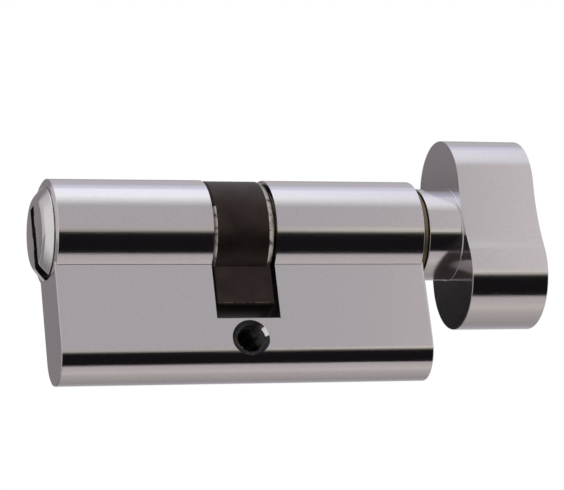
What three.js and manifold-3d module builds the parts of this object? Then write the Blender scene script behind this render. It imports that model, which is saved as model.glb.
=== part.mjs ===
// Euro profile cylinder: key operated on one side, turn knob on the other.
//
// Frame: X runs along the plug axis, with the key side at -X and the knob at +X.
// Z is up, with the round barrel on top and the flat web hanging below it.
// The origin is on the plug axis, midway between the two walls of the cam slot.
// Lengths are in millimetres.

import * as THREE from 'three';
import { mergeVertices } from 'three/addons/utils/BufferGeometryUtils.js';
import Module from 'manifold-3d';

const wasm = await Module();
wasm.setup();

// ---- driving dimensions -------------------------------------------------

// the standard profile, the same on every lock case
const barrelRadius = 8.5;
const webHalfThickness = 5;
const profileHeight = 33;
const halfLength = 30;
const barrelEndChamferLength = 0.3;
const barrelEndChamferDepth = 0.5;
const barrelEndChamferFootZ = -6.4;
const camSlotHalfWidth = 5.15;
const camSlotFloor = -15.7;
const fixingHoleZ = -19;
const fixingHoleRadius = 2.5;
const fixingHoleMouthRadius = 3;
const cutOvershoot = 1;

// the running parts
const plugBoreRadius = 6.5;
const plugRadius = 6.4;
const runningGap = 0.1;
const restGap = 0.3;

// pin stacks
const pinPositions = [-24.5, -20.6, -16.7, -12.8, -8.9];
const keyPinTips = [-3.4, -2.7, -3.8, -3.0, -3.3];
const pinRadius = 1.4;
const pinChamferHeight = 0.3;
const keyPinFoot = -6.15;
const keyPinTipRadius = 0.5;
const keyPinConeHeight = 1.0;
const driverPinTop = -6.6;
const driverPinLength = 5;
const plugPinHoleTop = -0.9;
const capTop = -22.6;
const capFoot = -24.15;
const springWireRadius = 0.2;
const springCoilRadius = 1.08;
const pinSpringTurns = 5;

// key plug
const noseFaceX = -31.6;
const noseFaceRadius = 5.45;
const noseRimX = -31.3;
const noseRimRadius = 5.95;
const noseBaseRadius = 7.3;
const noseBaseX = -30.1;
const noseBaseLip = 0.1;
const keyPlugEndX = -3.3;
const keywayHalfWidth = 1.15;
const keywayNeckHalfWidth = 0.8;
const keywayHead = 4.3;
const keywayUpperWard = [2.8, 0.6];
const keywayLowerWard = [-0.2, -2.6];
const keywayWardSlope = 0.35;

// circlips at the inner ends of both plugs
const circlipInnerRadius = 5.85;
const circlipOuterRadius = 7.0;
const circlipThickness = 0.6;
const circlipFromSlotWall = 0.35;
const circlipOpening = 1.1;
const circlipGrooveRadius = 5.75;

// clutch between the key plug and the cam
const dogStartX = -5.8;
const dogLength = 2.2;
const dogHalfWidth = 1.5;
const dogHalfHeight = 4.7;
const dogPocketX = -6.9;
const clutchSpringStartX = -3.1;
const clutchSpringEndX = 4.0;
const clutchSpringTurns = 5;

// cam
const camRadius = 8.35;
const camStartX = -5.05;
const camEndX = 4.7;
const camKeySideChamfer = 0.55;
const camTurnSideChamferLength = 0.8;
const camTurnSideChamferDepth = 0.35;
const camCounterboreRadius = 7.2;
const camWebStartX = -3.0;
const camWebEndX = 2.6;
const camTipRadius = 14;
const camTailHalfThickness = 4.5;
const camTailHalfWidth = 4.7;
const camTailRootZ = -4.25;

// turn plug
const turnPlugStartX = 2.9;
const turnPlugFlangeX = 30.15;
const turnPlugFlangeEndX = 30.95;
const turnPlugFlangeRadius = 7.15;
const turnShankRadius = 4.2;
const turnShankEndX = 43.5;
const turnLugStartX = -0.7;
const turnLugInnerZ = 1.9;
const turnSpringBoreRadius = 1.6;
const turnSpringBoreEndX = 4.4;

// knob and its neck
const neckRadius = 7.4;
const neckStartX = 31.1;
const neckFilletRadius = 0.12;
const neckFlareSteps = 4;
const knobStartX = 36.75;
const knobEndX = 49.8;
const knobLobeRadius = 8.6;
const knobLobeOffset = 7.35;
const knobWaistHalfWidth = 7.87;
const knobEdgeBevel = 0.1;
const knobTilt = THREE.MathUtils.degToRad(-3);
const setScrewX = 33.6;
const setScrewRadius = 1.5;
const setScrewHoleRadius = 1.6;
const setScrewInnerY = 4.6;
const setScrewOuterY = 7.0;
const setScrewSocketRadius = 0.85;
const setScrewSocketDepth = 1.2;
const setScrewSocketSides = 6;
const setScrewHoleInnerY = 2;

// how finely the round shapes are cut
const runningSides = 48;
const pinSides = 20;
const wireSides = 6;
const stepsPerCoil = 9;
const mergeDistance = 1e-5;

const AXIS_X = new THREE.Vector3(1, 0, 0);
const AXIS_Y = new THREE.Vector3(0, 1, 0);
const AXIS_Z = new THREE.Vector3(0, 0, 1);

// ---- materials ----------------------------------------------------------

function metal(colour, roughness) {
  return new THREE.MeshStandardMaterial({ color: colour, roughness, metalness: 1 });
}

const nickel = metal(0xb4b0b4, 0.28);
const brass = metal(0xb9964f, 0.35);
const springSteel = metal(0x8d9096, 0.3);
const sinteredSteel = metal(0x3a302d, 0.6);
const blackSteel = metal(0x2a2a2c, 0.5);

// ---- solid helpers ------------------------------------------------------

// A closed geometry as a manifold solid, with its shared vertices merged.
function solid(geometry) {
  const bare = geometry.clone();
  bare.deleteAttribute('normal');
  bare.deleteAttribute('uv');
  const merged = mergeVertices(bare, mergeDistance);
  const mesh = new wasm.Mesh({
    numProp: 3,
    vertProperties: new Float32Array(merged.attributes.position.array),
    triVerts: new Uint32Array(merged.index.array),
  });
  return new wasm.Manifold(mesh);
}

function toGeometry(manifold) {
  const mesh = manifold.getMesh();
  const geometry = new THREE.BufferGeometry();
  geometry.setAttribute('position', new THREE.BufferAttribute(mesh.vertProperties, 3));
  geometry.setIndex(new THREE.BufferAttribute(mesh.triVerts, 1));
  geometry.computeVertexNormals();
  return geometry;
}

function cutAway(body, cutters) {
  return cutters.reduce((left, cutter) => left.subtract(cutter), body);
}

// Turns a geometry made along Y so that it lies along X or along Z.
function layAlongX(geometry) {
  return geometry.rotateZ(-Math.PI / 2);
}

function standAlongZ(geometry) {
  return geometry.rotateX(Math.PI / 2);
}

// A round rod between two places on the X axis.
function rodAlongX(radius, startX, endX, sides = runningSides) {
  const rod = layAlongX(new THREE.CylinderGeometry(radius, radius, endX - startX, sides));
  return rod.translate((startX + endX) / 2, 0, 0);
}

function rodAlongZ(radius, x, startZ, endZ, sides = pinSides) {
  const rod = standAlongZ(new THREE.CylinderGeometry(radius, radius, endZ - startZ, sides));
  return rod.translate(x, 0, (startZ + endZ) / 2);
}

function rodAlongY(radius, x, z, startY, endY, sides = pinSides) {
  const rod = new THREE.CylinderGeometry(radius, radius, endY - startY, sides);
  return rod.translate(x, (startY + endY) / 2, z);
}

function block(startX, endX, startY, endY, startZ, endZ) {
  const box = new THREE.BoxGeometry(endX - startX, endY - startY, endZ - startZ);
  return box.translate((startX + endX) / 2, (startY + endY) / 2, (startZ + endZ) / 2);
}

// A profile of [x, radius] pairs turned about the X axis.
function turnedAboutX(profile, sides = runningSides) {
  const points = profile.map(([x, radius]) => new THREE.Vector2(radius, x));
  return layAlongX(new THREE.LatheGeometry(points, sides));
}

// A profile of [z, radius] pairs turned about a line parallel to Z.
function turnedAboutZ(profile, x, sides = pinSides) {
  const points = profile.map(([z, radius]) => new THREE.Vector2(radius, z));
  return standAlongZ(new THREE.LatheGeometry(points, sides)).translate(x, 0, 0);
}

// A flat outline in the YZ plane drawn out along X.
function drawnAlongX(outline, startX, endX, options = {}) {
  const drawn = new THREE.ExtrudeGeometry(outline, {
    depth: endX - startX,
    bevelEnabled: false,
    curveSegments: runningSides / 4,
    ...options,
  });
  drawn.applyMatrix4(new THREE.Matrix4().makeBasis(AXIS_Y, AXIS_Z, AXIS_X));
  return drawn.translate(startX, 0, 0);
}

// A wire coil along Z, starting at the origin.
class CoilCurve extends THREE.Curve {
  constructor(radius, height, turns) {
    super();
    this.radius = radius;
    this.height = height;
    this.turns = turns;
  }

  getPoint(t, target = new THREE.Vector3()) {
    const angle = t * this.turns * 2 * Math.PI;
    const x = this.radius * Math.cos(angle);
    const y = this.radius * Math.sin(angle);
    return target.set(x, y, t * this.height);
  }
}

function coilAlongZ(height, turns) {
  const section = new THREE.Shape();
  section.absarc(0, 0, springWireRadius, 0, 2 * Math.PI, false);
  return new THREE.ExtrudeGeometry(section, {
    extrudePath: new CoilCurve(springCoilRadius, height, turns),
    steps: turns * stepsPerCoil,
    curveSegments: wireSides / 2,
  });
}

// ---- outlines in the YZ plane -------------------------------------------

// The standard keyhole-shaped profile: barrel, flat web and full round foot.
function profileOutline() {
  const junctionAngle = Math.acos(webHalfThickness / barrelRadius);
  const footCentreZ = barrelRadius - profileHeight + webHalfThickness;
  const outline = new THREE.Shape();
  outline.absarc(0, 0, barrelRadius, -junctionAngle, Math.PI + junctionAngle, false);
  outline.absarc(0, footCentreZ, webHalfThickness, Math.PI, 2 * Math.PI, false);
  outline.closePath();
  return outline;
}

// A generic warded keyway, open at the foot and narrowed once from each side.
function keywayOutline() {
  const foot = -plugRadius - cutOvershoot;
  const [upperTop, upperBottom] = keywayUpperWard;
  const [lowerTop, lowerBottom] = keywayLowerWard;
  const outline = new THREE.Shape();
  outline.moveTo(keywayHalfWidth, foot);
  outline.lineTo(keywayHalfWidth, lowerBottom);
  outline.lineTo(keywayNeckHalfWidth, lowerBottom + keywayWardSlope);
  outline.lineTo(keywayNeckHalfWidth, lowerTop - keywayWardSlope);
  outline.lineTo(keywayHalfWidth, lowerTop);
  outline.lineTo(keywayHalfWidth, keywayHead);
  outline.lineTo(-keywayHalfWidth, keywayHead);
  outline.lineTo(-keywayHalfWidth, upperTop);
  outline.lineTo(-keywayNeckHalfWidth, upperTop - keywayWardSlope);
  outline.lineTo(-keywayNeckHalfWidth, upperBottom + keywayWardSlope);
  outline.lineTo(-keywayHalfWidth, upperBottom);
  outline.lineTo(-keywayHalfWidth, foot);
  outline.closePath();
  return outline;
}

// An open ring whose mouth faces up.
function circlipOutline() {
  const mouthAngle = circlipOpening / 2;
  const start = Math.PI / 2 + mouthAngle;
  const end = Math.PI / 2 - mouthAngle + 2 * Math.PI;
  const outline = new THREE.Shape();
  outline.absarc(0, 0, circlipOuterRadius, start, end, false);
  outline.absarc(0, 0, circlipInnerRadius, end, start, true);
  outline.closePath();
  return outline;
}

// The cam's tail: straight sides and a tip that is round about the plug axis.
function camTailOutline() {
  const tipAngle = Math.asin(camTailHalfThickness / camTipRadius);
  const down = -Math.PI / 2;
  const outline = new THREE.Shape();
  outline.moveTo(-camTailHalfThickness, camTailRootZ);
  outline.absarc(0, 0, camTipRadius, down - tipAngle, down + tipAngle, false);
  outline.lineTo(camTailHalfThickness, camTailRootZ);
  outline.closePath();
  return outline;
}

// The knob's waisted oval: two round lobes joined by hollow sides.
function knobOutline() {
  const squaredSum = knobWaistHalfWidth ** 2 + knobLobeOffset ** 2;
  const waistRadius = (squaredSum - knobLobeRadius ** 2)
    / (2 * (knobLobeRadius - knobWaistHalfWidth));
  const waistCentreY = knobWaistHalfWidth + waistRadius;
  const blendAngle = Math.atan2(knobLobeOffset, waistCentreY);
  const outline = new THREE.Shape();
  outline.absarc(0, knobLobeOffset, knobLobeRadius, -blendAngle, Math.PI + blendAngle, false);
  outline.absarc(-waistCentreY, 0, waistRadius, blendAngle, -blendAngle, true);
  outline.absarc(0, -knobLobeOffset, knobLobeRadius, Math.PI - blendAngle,
    2 * Math.PI + blendAngle, false);
  outline.absarc(waistCentreY, 0, waistRadius, Math.PI + blendAngle, Math.PI - blendAngle, true);
  outline.closePath();
  return outline;
}

// ---- the pieces ---------------------------------------------------------

function cylinderBody() {
  const profile = solid(drawnAlongX(profileOutline(), -halfLength, halfLength));
  const plugBore = solid(rodAlongX(plugBoreRadius, -halfLength - cutOvershoot,
    halfLength + cutOvershoot));
  const camSlotReach = barrelRadius + cutOvershoot;
  const camSlot = solid(block(-camSlotHalfWidth, camSlotHalfWidth, -camSlotReach, camSlotReach,
    camSlotFloor, camSlotReach));
  const pinChambers = pinPositions.map((x) => (
    solid(rodAlongZ(pinRadius + runningGap, x, barrelRadius - profileHeight - cutOvershoot, 0))
  ));
  return toGeometry(cutAway(profile, [
    plugBore, camSlot, fixingHole(), barrelEndChamferCutter(-1), barrelEndChamferCutter(1),
    ...pinChambers,
  ]));
}

// What the lathe takes off the rim of the barrel at one end, and nothing off the web.
function barrelEndChamferCutter(side) {
  const steepness = barrelEndChamferDepth / barrelEndChamferLength;
  const outsideX = side * (halfLength + cutOvershoot);
  const insideX = side * (halfLength - barrelEndChamferLength - cutOvershoot / steepness);
  const innerRadius = barrelRadius - barrelEndChamferDepth - cutOvershoot * steepness;
  const outerRadius = barrelRadius + cutOvershoot;
  const profile = [
    [outsideX, innerRadius], [insideX, outerRadius], [outsideX, outerRadius],
    [outsideX, innerRadius],
  ];
  const ring = solid(turnedAboutX(side > 0 ? profile : profile.reverse()));
  const reach = 2 * barrelRadius;
  const overWeb = solid(block(-halfLength - reach, halfLength + reach, -reach, reach,
    -reach, barrelEndChamferFootZ));
  return ring.subtract(overWeb);
}

// The M5 hole that crosses the web, with a small countersink at each mouth.
function fixingHole() {
  const straight = rodAlongY(fixingHoleRadius, 0, fixingHoleZ,
    -webHalfThickness - cutOvershoot, webHalfThickness + cutOvershoot, runningSides / 2);
  const mouthDepth = fixingHoleMouthRadius - fixingHoleRadius;
  const mouths = [-1, 1].map((side) => {
    const outerRadius = fixingHoleMouthRadius + mouthDepth;
    const radii = side > 0 ? [outerRadius, fixingHoleRadius] : [fixingHoleRadius, outerRadius];
    const cone = new THREE.CylinderGeometry(...radii, 2 * mouthDepth, runningSides / 2);
    return solid(cone.translate(0, side * webHalfThickness, fixingHoleZ));
  });
  return mouths.reduce((hole, mouth) => hole.add(mouth), solid(straight));
}

function chamberCap(x) {
  return rodAlongZ(pinRadius, x, capFoot, capTop);
}

function keyPin(x, tip) {
  const profile = [
    [keyPinFoot, 0],
    [keyPinFoot, pinRadius - pinChamferHeight],
    [keyPinFoot + pinChamferHeight, pinRadius],
    [tip - keyPinConeHeight, pinRadius],
    [tip, keyPinTipRadius],
    [tip, 0],
  ];
  return turnedAboutZ(profile, x);
}

function driverPin(x) {
  const foot = driverPinTop - driverPinLength;
  const profile = [
    [foot, 0],
    [foot, pinRadius - pinChamferHeight],
    [foot + pinChamferHeight, pinRadius],
    [driverPinTop - pinChamferHeight, pinRadius],
    [driverPinTop, pinRadius - pinChamferHeight],
    [driverPinTop, 0],
  ];
  return turnedAboutZ(profile, x);
}

function pinSpring(x) {
  const endRoom = restGap + springWireRadius;
  const startZ = capTop + endRoom;
  const endZ = driverPinTop - driverPinLength - endRoom;
  return coilAlongZ(endZ - startZ, pinSpringTurns).translate(x, 0, startZ);
}

function keyPlug() {
  const grooveStartX = -camSlotHalfWidth + circlipFromSlotWall - runningGap;
  const grooveEndX = grooveStartX + circlipThickness + 2 * runningGap;
  const profile = [
    [noseFaceX, 0],
    [noseFaceX, noseFaceRadius],
    [noseRimX, noseRimRadius],
    [noseBaseX - noseBaseLip, noseBaseRadius],
    [noseBaseX, noseBaseRadius],
    [noseBaseX, plugRadius],
    [grooveStartX, plugRadius],
    [grooveStartX, circlipGrooveRadius],
    [grooveEndX, circlipGrooveRadius],
    [grooveEndX, plugRadius],
    [keyPlugEndX, plugRadius],
    [keyPlugEndX, 0],
  ];
  const keyway = solid(drawnAlongX(keywayOutline(),
    noseFaceX - cutOvershoot, dogPocketX + cutOvershoot));
  const dogRoom = restGap;
  const dogPocket = solid(block(dogPocketX, keyPlugEndX + cutOvershoot, -dogHalfWidth - dogRoom,
    dogHalfWidth + dogRoom, -dogHalfHeight - dogRoom, dogHalfHeight + dogRoom));
  const pinHoles = pinPositions.map((x) => (
    solid(rodAlongZ(pinRadius + runningGap, x, -plugRadius - cutOvershoot, plugPinHoleTop))
  ));
  return toGeometry(cutAway(solid(turnedAboutX(profile)), [keyway, dogPocket, ...pinHoles]));
}

function circlip(startX) {
  return drawnAlongX(circlipOutline(), startX, startX + circlipThickness);
}

function clutchDog() {
  return block(dogStartX, dogStartX + dogLength, -dogHalfWidth, dogHalfWidth,
    -dogHalfHeight, dogHalfHeight);
}

function clutchSpring() {
  const coil = coilAlongZ(clutchSpringEndX - clutchSpringStartX, clutchSpringTurns);
  return coil.rotateY(Math.PI / 2).translate(clutchSpringStartX, 0, 0);
}

function cam() {
  const ringProfile = [
    [camStartX, 0],
    [camStartX, camRadius - camKeySideChamfer],
    [camStartX + camKeySideChamfer, camRadius],
    [camEndX - camTurnSideChamferLength, camRadius],
    [camEndX, camRadius - camTurnSideChamferDepth],
    [camEndX, 0],
  ];
  const ring = solid(turnedAboutX(ringProfile));
  const tail = solid(drawnAlongX(camTailOutline(), -camTailHalfWidth, camTailHalfWidth));
  const outsideX = camSlotHalfWidth + cutOvershoot;
  const keySideCounterbore = solid(rodAlongX(camCounterboreRadius, -outsideX, camWebStartX));
  const turnSideCounterbore = solid(rodAlongX(camCounterboreRadius, camWebEndX, outsideX));
  const driveSlot = solid(block(-outsideX, outsideX, -dogHalfWidth - restGap,
    dogHalfWidth + restGap, -dogHalfHeight - restGap, dogHalfHeight + restGap));
  return toGeometry(cutAway(ring.add(tail), [keySideCounterbore, turnSideCounterbore, driveSlot]));
}

// Two lugs on the inner end drive the cam through its slot.
function turnPlug() {
  const grooveEndX = camSlotHalfWidth - circlipFromSlotWall + runningGap;
  const grooveStartX = grooveEndX - circlipThickness - 2 * runningGap;
  const profile = [
    [turnPlugStartX, 0],
    [turnPlugStartX, plugRadius],
    [grooveStartX, plugRadius],
    [grooveStartX, circlipGrooveRadius],
    [grooveEndX, circlipGrooveRadius],
    [grooveEndX, plugRadius],
    [turnPlugFlangeX, plugRadius],
    [turnPlugFlangeX, turnPlugFlangeRadius],
    [turnPlugFlangeEndX, turnPlugFlangeRadius],
    [turnPlugFlangeEndX, turnShankRadius],
    [turnShankEndX, turnShankRadius],
    [turnShankEndX, 0],
  ];
  const lugs = [[turnLugInnerZ, dogHalfHeight], [-dogHalfHeight, -turnLugInnerZ]];
  const body = lugs.reduce((sum, [startZ, endZ]) => sum.add(solid(block(turnLugStartX,
    turnPlugStartX + runningGap, -dogHalfWidth, dogHalfWidth, startZ, endZ))),
  solid(turnedAboutX(profile)));
  const springBore = solid(rodAlongX(turnSpringBoreRadius, turnPlugStartX - cutOvershoot,
    turnSpringBoreEndX, pinSides));
  return toGeometry(cutAway(body, [springBore]));
}

// The knob upright, before it is turned to the angle it rests at.
function knob() {
  const grip = solid(drawnAlongX(knobOutline(), knobStartX + knobEdgeBevel,
    knobEndX - knobEdgeBevel, {
      bevelEnabled: true,
      bevelSegments: 1,
      bevelThickness: knobEdgeBevel,
      bevelSize: knobEdgeBevel,
      bevelOffset: -knobEdgeBevel,
    }));
  const neck = solid(turnedAboutX(neckProfile()));
  const shankBore = solid(rodAlongX(turnShankRadius + runningGap, neckStartX - cutOvershoot,
    turnShankEndX + restGap));
  const screwHole = solid(rodAlongY(setScrewHoleRadius, setScrewX, 0, setScrewHoleInnerY,
    neckRadius + cutOvershoot));
  return toGeometry(cutAway(grip.add(neck), [shankBore, screwHole]));
}

// A straight neck that flares out to meet the grip in a quarter round.
function neckProfile() {
  const flareStartX = knobStartX - neckFilletRadius;
  const profile = [[neckStartX, 0], [neckStartX, neckRadius]];
  for (let step = 0; step <= neckFlareSteps; step += 1) {
    const angle = (step / neckFlareSteps) * Math.PI / 2;
    const x = flareStartX + neckFilletRadius * Math.sin(angle);
    const radius = neckRadius + neckFilletRadius * (1 - Math.cos(angle));
    profile.push([x, radius]);
  }
  const rootX = knobStartX + 2 * knobEdgeBevel;
  profile.push([rootX, neckRadius + neckFilletRadius], [rootX, 0]);
  return profile;
}

// A grub screw with a hexagonal socket in its outer end.
function knobSetScrew() {
  const shank = solid(rodAlongY(setScrewRadius, setScrewX, 0, setScrewInnerY, setScrewOuterY));
  const socket = solid(rodAlongY(setScrewSocketRadius, setScrewX, 0,
    setScrewOuterY - setScrewSocketDepth, setScrewOuterY + cutOvershoot,
    setScrewSocketSides));
  return toGeometry(cutAway(shank, [socket]));
}

// ---- the assembly -------------------------------------------------------

const assembly = new THREE.Group();
const knobGroup = new THREE.Group();
knobGroup.rotation.x = knobTilt;
assembly.add(knobGroup);

function addPiece(name, geometry, material, parent = assembly) {
  const mesh = new THREE.Mesh(geometry, material);
  mesh.name = name;
  parent.add(mesh);
}

addPiece('cylinder_body', cylinderBody(), nickel);
pinPositions.forEach((x, index) => {
  const number = index + 1;
  addPiece(`chamber_cap_${number}`, chamberCap(x), nickel);
  addPiece(`pin_spring_${number}`, pinSpring(x), springSteel);
  addPiece(`driver_pin_${number}`, driverPin(x), brass);
  addPiece(`key_pin_${number}`, keyPin(x, keyPinTips[index]), brass);
});
addPiece('key_plug', keyPlug(), nickel);
addPiece('key_circlip', circlip(-camSlotHalfWidth + circlipFromSlotWall), springSteel);
addPiece('clutch_dog', clutchDog(), sinteredSteel);
addPiece('clutch_spring', clutchSpring(), springSteel);
addPiece('cam', cam(), sinteredSteel);
addPiece('turn_plug', turnPlug(), brass);
addPiece('turn_circlip',
  circlip(camSlotHalfWidth - circlipFromSlotWall - circlipThickness), springSteel);
addPiece('knob', knob(), nickel, knobGroup);
addPiece('knob_set_screw', knobSetScrew(), blackSteel, knobGroup);

export default assembly;
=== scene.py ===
"""Euro profile cylinder: fine meshes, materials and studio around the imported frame.

X runs along the plug axis from the key side to the knob, Z is up and the side that the
camera sees faces -Y. Lengths are in millimetres and go through MM into metres.
Corners of outlines are (a, b) or (a, b, size), where size is how far the corner is rounded.
"""
import math
from collections import namedtuple

import bmesh
import bpy
from mathutils import Matrix, Vector


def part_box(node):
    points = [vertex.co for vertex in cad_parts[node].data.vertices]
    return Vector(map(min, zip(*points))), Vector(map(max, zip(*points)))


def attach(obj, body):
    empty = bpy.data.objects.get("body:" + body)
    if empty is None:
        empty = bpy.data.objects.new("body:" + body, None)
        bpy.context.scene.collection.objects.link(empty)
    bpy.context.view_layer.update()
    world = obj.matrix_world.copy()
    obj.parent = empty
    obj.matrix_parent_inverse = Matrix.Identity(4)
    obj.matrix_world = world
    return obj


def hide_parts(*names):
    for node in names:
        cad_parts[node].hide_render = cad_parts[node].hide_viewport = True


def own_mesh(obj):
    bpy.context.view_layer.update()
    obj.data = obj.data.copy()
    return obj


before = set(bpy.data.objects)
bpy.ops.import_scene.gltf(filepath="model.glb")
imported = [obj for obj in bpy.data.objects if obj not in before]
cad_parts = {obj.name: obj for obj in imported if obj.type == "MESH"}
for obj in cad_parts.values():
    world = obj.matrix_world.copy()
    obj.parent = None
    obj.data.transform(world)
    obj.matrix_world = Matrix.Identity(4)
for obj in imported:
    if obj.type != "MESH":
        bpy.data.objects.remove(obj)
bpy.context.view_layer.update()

MM = 0.001

# ---- driving dimensions, in millimetres -------------------------------------------

# cylinder body
BODY_LOW, BODY_HIGH = (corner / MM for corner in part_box("cylinder_body"))
BARREL_RADIUS = BODY_HIGH.z
HALF_LENGTH = BODY_HIGH.x
BARREL_END_CHAMFER_LENGTH = 0.3
BARREL_END_CHAMFER_DEPTH = 0.5
CHAMFER_RUN_OUT = 0.04
WEB_HALF = 5.0
WEB_END_ROUND = 0.12
WEB_FILLET = 0.2
FOOT_CENTRE_Z = BODY_LOW.z + WEB_HALF
BORE_RIM_ROUND = 0.15
SLOT_HALF = 5.15
SLOT_FLOOR = -15.7
SLOT_RIM_ROUND = 0.08
PLUG_BORE_RADIUS = 6.5
PLUG_RADIUS = 6.4
RUNNING_GAP = 0.1
FIXING_HOLE_Z = -19.0
FIXING_HOLE_RADIUS = 2.5
FIXING_HOLE_MOUTH = 3.0
THREAD_DEPTH = 0.55
THREAD_PITCH = 0.8
# sector of the countersinks kept bright nickel: a painted glint
GLINT_SPOT_DEGREES = (12, 40)

# pin stacks and springs
PIN_NUMBERS = range(1, 6)
PIN_RADIUS = 1.4
PIN_ROUND = 0.25
PIN_HOLE_RADIUS = 1.5
PIN_HOLE_TOP = -0.9
KEY_PIN_FOOT_HEIGHT = 0.35
KEY_PIN_TIP_HEIGHT = 1
KEY_PIN_TIP_RADIUS = 0.5
CAP_RADIUS = 1.49
CAP_ROUND = 0.2
SPRING_WIRE_RADIUS = 0.2
SPRING_COIL_RADIUS = 1.08
SPRING_TURNS = 5

# key plug, with its nose at the left, and the parts on it
NOSE_FACE_RADIUS = 5.45
NOSE_FACE_ROUND = 0.22
NOSE_RIM_X = -31.3
NOSE_RIM_RADIUS = 5.95
NOSE_RIM_ROUND = 0.25
NOSE_BASE_RADIUS = 7.3
NOSE_BASE_X = -30.05
NOSE_BASE_LIP = 0.1
KEYWAY_HALF = 1.15
KEYWAY_NECK_HALF = 0.8
KEYWAY_HEAD = 4.3
KEYWAY_HEAD_ROUND = 0.3
KEYWAY_CORNER = 0.1
KEYWAY_UPPER_WARD = (2.8, 0.6)
KEYWAY_LOWER_WARD = (-0.2, -2.6)
KEYWAY_WARD_SLOPE = 0.35
DOG_POCKET_X = -6.9
DOG_ROOM = 0.3
DOG_CORNER = 0.4
DOG_END_ROUND = 0.2
PLUG_END_ROUND = 0.25
GROOVE_RADIUS = 5.75
GROOVE_EDGE_ROUND = 0.05
CIRCLIP_INNER_RADIUS = 5.85
CIRCLIP_ROUND = 0.08
CIRCLIP_MOUTH = 1.1

# cam
CAM_RADIUS = 8.35
CAM_EDGE_ROUND = 0.06
CAM_KEY_SIDE_CHAMFER = 0.55
CAM_TURN_SIDE_CHAMFER_LENGTH = 0.8
CAM_TURN_SIDE_CHAMFER_DEPTH = 0.35
# below this the key side's chamfer is lighter steel; above it stays dark as painted shade
CAM_LIGHT_CHAMFER_BELOW_Z = 1.6
CAM_BORE_RADIUS = 7.2
CAM_WEB_START_X = -3.0
CAM_WEB_END_X = 2.6
CAM_TAIL_HALF_THICKNESS = 4.5
CAM_TAIL_HALF_WIDTH = 4.7
CAM_TAIL_ROUND = 0.3
CAM_TAIL_TIP_CORNER = 0.35

# turn plug and knob
TURN_PLUG_START_X = 2.9
TURN_PLUG_START_ROUND = 0.2
FLANGE_START_X = 30.15
FLANGE_END_X = 30.95
FLANGE_RADIUS = 7.15
FLANGE_ROUND = 0.1
SHANK_RADIUS = 4.2
SHANK_END_ROUND = 0.4
SHANK_END_ROOM = 0.3
LUG_INNER_Z = 1.9
LUG_OVERLAP = 0.5
SPRING_BORE_RADIUS = 1.6
SPRING_BORE_END_X = 4.4
NECK_RADIUS = 7.4
NECK_FILLET = 0.12
NECK_END_ROUND = 0.15
KNOB_START_X = 36.75
KNOB_LOBE_RADIUS = 8.6
KNOB_LOBE_OFFSET = 7.35
KNOB_WAIST_HALF = 7.87
KNOB_EDGE = 0.1
KNOB_TILT = math.radians(-3)
SET_SCREW_X = 33.6
SET_SCREW_HOLE_RADIUS = 1.6
SET_SCREW_HOLE_INNER_Y = 2
SET_SCREW_RADIUS = 1.5
SET_SCREW_END_BEVEL = 0.25
SET_SCREW_INNER_Y = 4.6
SET_SCREW_OUTER_Y = 7.0
SET_SCREW_PITCH = 0.5
SET_SCREW_THREAD_DEPTH = 0.14
SOCKET_SIDES = 6
SOCKET_RADIUS = 0.85
SOCKET_DEPTH = 1.2

# how far a cutter reaches past the surface that it cuts
PAST = 1

# how finely the round shapes are cut
ROUND_SIDES = 192
HOLE_SIDES = 72
PIN_SIDES = 64
SET_SCREW_SIDES = 48
WIRE_SIDES = 14
BARREL_STEPS = 160
HALF_ROUND_STEPS = 96
ARC_STEPS = 24
COIL_STEPS_PER_TURN = 40
CIRCLIP_STEPS = 120
THREAD_RINGS_PER_PITCH = 8
ROUNDING_STEPS = 5
END_STEPS = 4
FLARE_STEPS = 6
EDGE_SEGMENTS = 2

# edges sharper than this stay sharp under smooth shading
SHARP_DEGREES = 38

# how near a point counts as lying on a flat or round surface, and clear of one
FLAT_NEAR = 0.001
ROUND_NEAR = 0.008
CLEAR = 0.01
# a face whose normal has less than this along X runs along X
RUNS_ALONG_X = 0.1


# ---- mesh helpers -----------------------------------------------------------------

def node_span(node, axis=0):
    """Lowest and highest coordinate of a CAD node along one axis, in millimetres."""
    low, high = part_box(node)
    return low[axis] / MM, high[axis] / MM


def new_object(name, points, faces):
    """An object from points in millimetres."""
    mesh = bpy.data.meshes.new(name)
    mesh.from_pydata([Vector(p) * MM for p in points], [], faces)
    obj = bpy.data.objects.new(name, mesh)
    bpy.context.scene.collection.objects.link(obj)
    tidy_mesh(mesh)
    return obj


def tidy_mesh(mesh):
    """Merges doubled points and turns every face outwards."""
    bm = bmesh.new()
    bm.from_mesh(mesh)
    bmesh.ops.remove_doubles(bm, verts=bm.verts, dist=1e-7)
    bmesh.ops.recalc_face_normals(bm, faces=bm.faces)
    bm.to_mesh(mesh)
    bm.free()


def loft(name, rings, ends_closed=True):
    """A skin over rings that all have the same number of points."""
    count = len(rings[0])
    points = [p for ring in rings for p in ring]
    last = (len(rings) - 1) * count
    faces = []
    for a in range(0, last, count):
        b = a + count
        for j in range(count):
            k = (j + 1) % count
            faces.append((a + j, a + k, b + k, b + j))
    if ends_closed:
        faces.append(tuple(range(count)))
        faces.append(tuple(range(last, last + count)))
    return new_object(name, points, faces)


def soften(corners):
    """The points of an open line whose corners are rounded off, each over its own size."""
    line = [Vector(c[:2]) for c in corners]
    points = []
    for i, corner in enumerate(corners):
        size = corner[2] if len(corner) > 2 else 0
        if not size or i in (0, len(corners) - 1):
            points.append(line[i])
            continue
        before = line[i] + (line[i - 1] - line[i]).normalized() * size
        after = line[i] + (line[i + 1] - line[i]).normalized() * size
        for step in range(ROUNDING_STEPS + 1):
            s = step / ROUNDING_STEPS
            points.append(before * (1 - s) ** 2 + line[i] * 2 * s * (1 - s) + after * s ** 2)
    return points


def soften_loop(corners):
    """The points of a closed line whose corners are rounded off."""
    return soften([corners[-1][:2], *corners, corners[0][:2]])[1:-1]


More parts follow.
